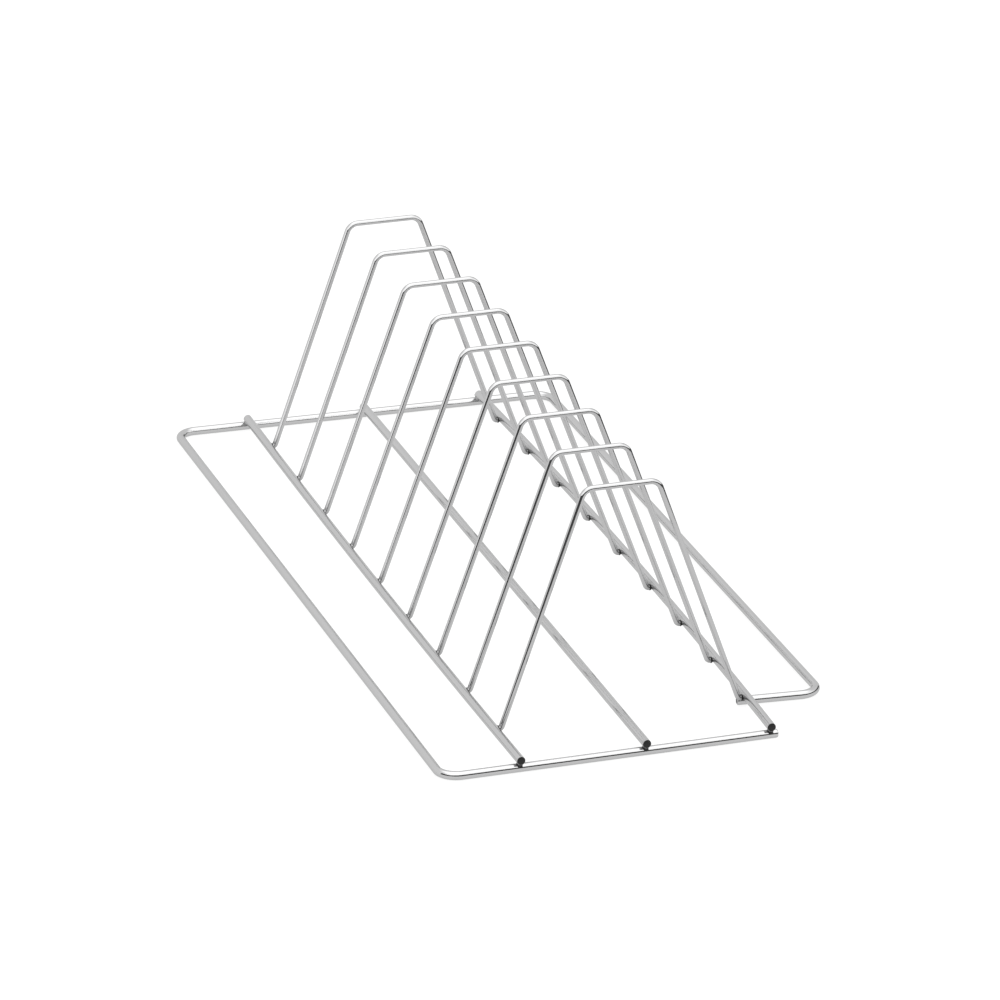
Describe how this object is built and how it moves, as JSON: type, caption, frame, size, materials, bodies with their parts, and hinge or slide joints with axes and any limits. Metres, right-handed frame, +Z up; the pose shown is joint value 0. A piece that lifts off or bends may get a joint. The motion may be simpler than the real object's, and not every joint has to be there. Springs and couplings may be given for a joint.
{
  "type": "wire plate rack",
  "caption": "Welded round-wire rack: open bent frame with a notched corner, long rods laid across it and a row of trapezoid dividers that stand plates, lids or trays on edge.",
  "frame": {"origin": "centre of the bounding box's bottom, on the surface that the rack stands on", "axes": "+Y along the rods, away from the notched end; +X to the right seen from the notched end; +Z up"},
  "size_m": [0.217, 0.4896, 0.1301],
  "materials": {
    "frame_steel": "drawn stainless wire, bright polished",
    "rod_steel": "drawn stainless wire, bright polished",
    "divider_steel": "thinner drawn stainless wire, bright polished"
  },
  "bodies": {
    "root": {"outer_frame": "frame_steel", "rod_left": "rod_steel", "rod_middle": "rod_steel", "rod_right": "rod_steel", "divider_1": "divider_steel", "divider_2": "divider_steel", "divider_3": "divider_steel", "divider_4": "divider_steel", "divider_5": "divider_steel", "divider_6": "divider_steel", "divider_7": "divider_steel", "divider_8": "divider_steel", "divider_9": "divider_steel"}
  },
  "joints": []
}
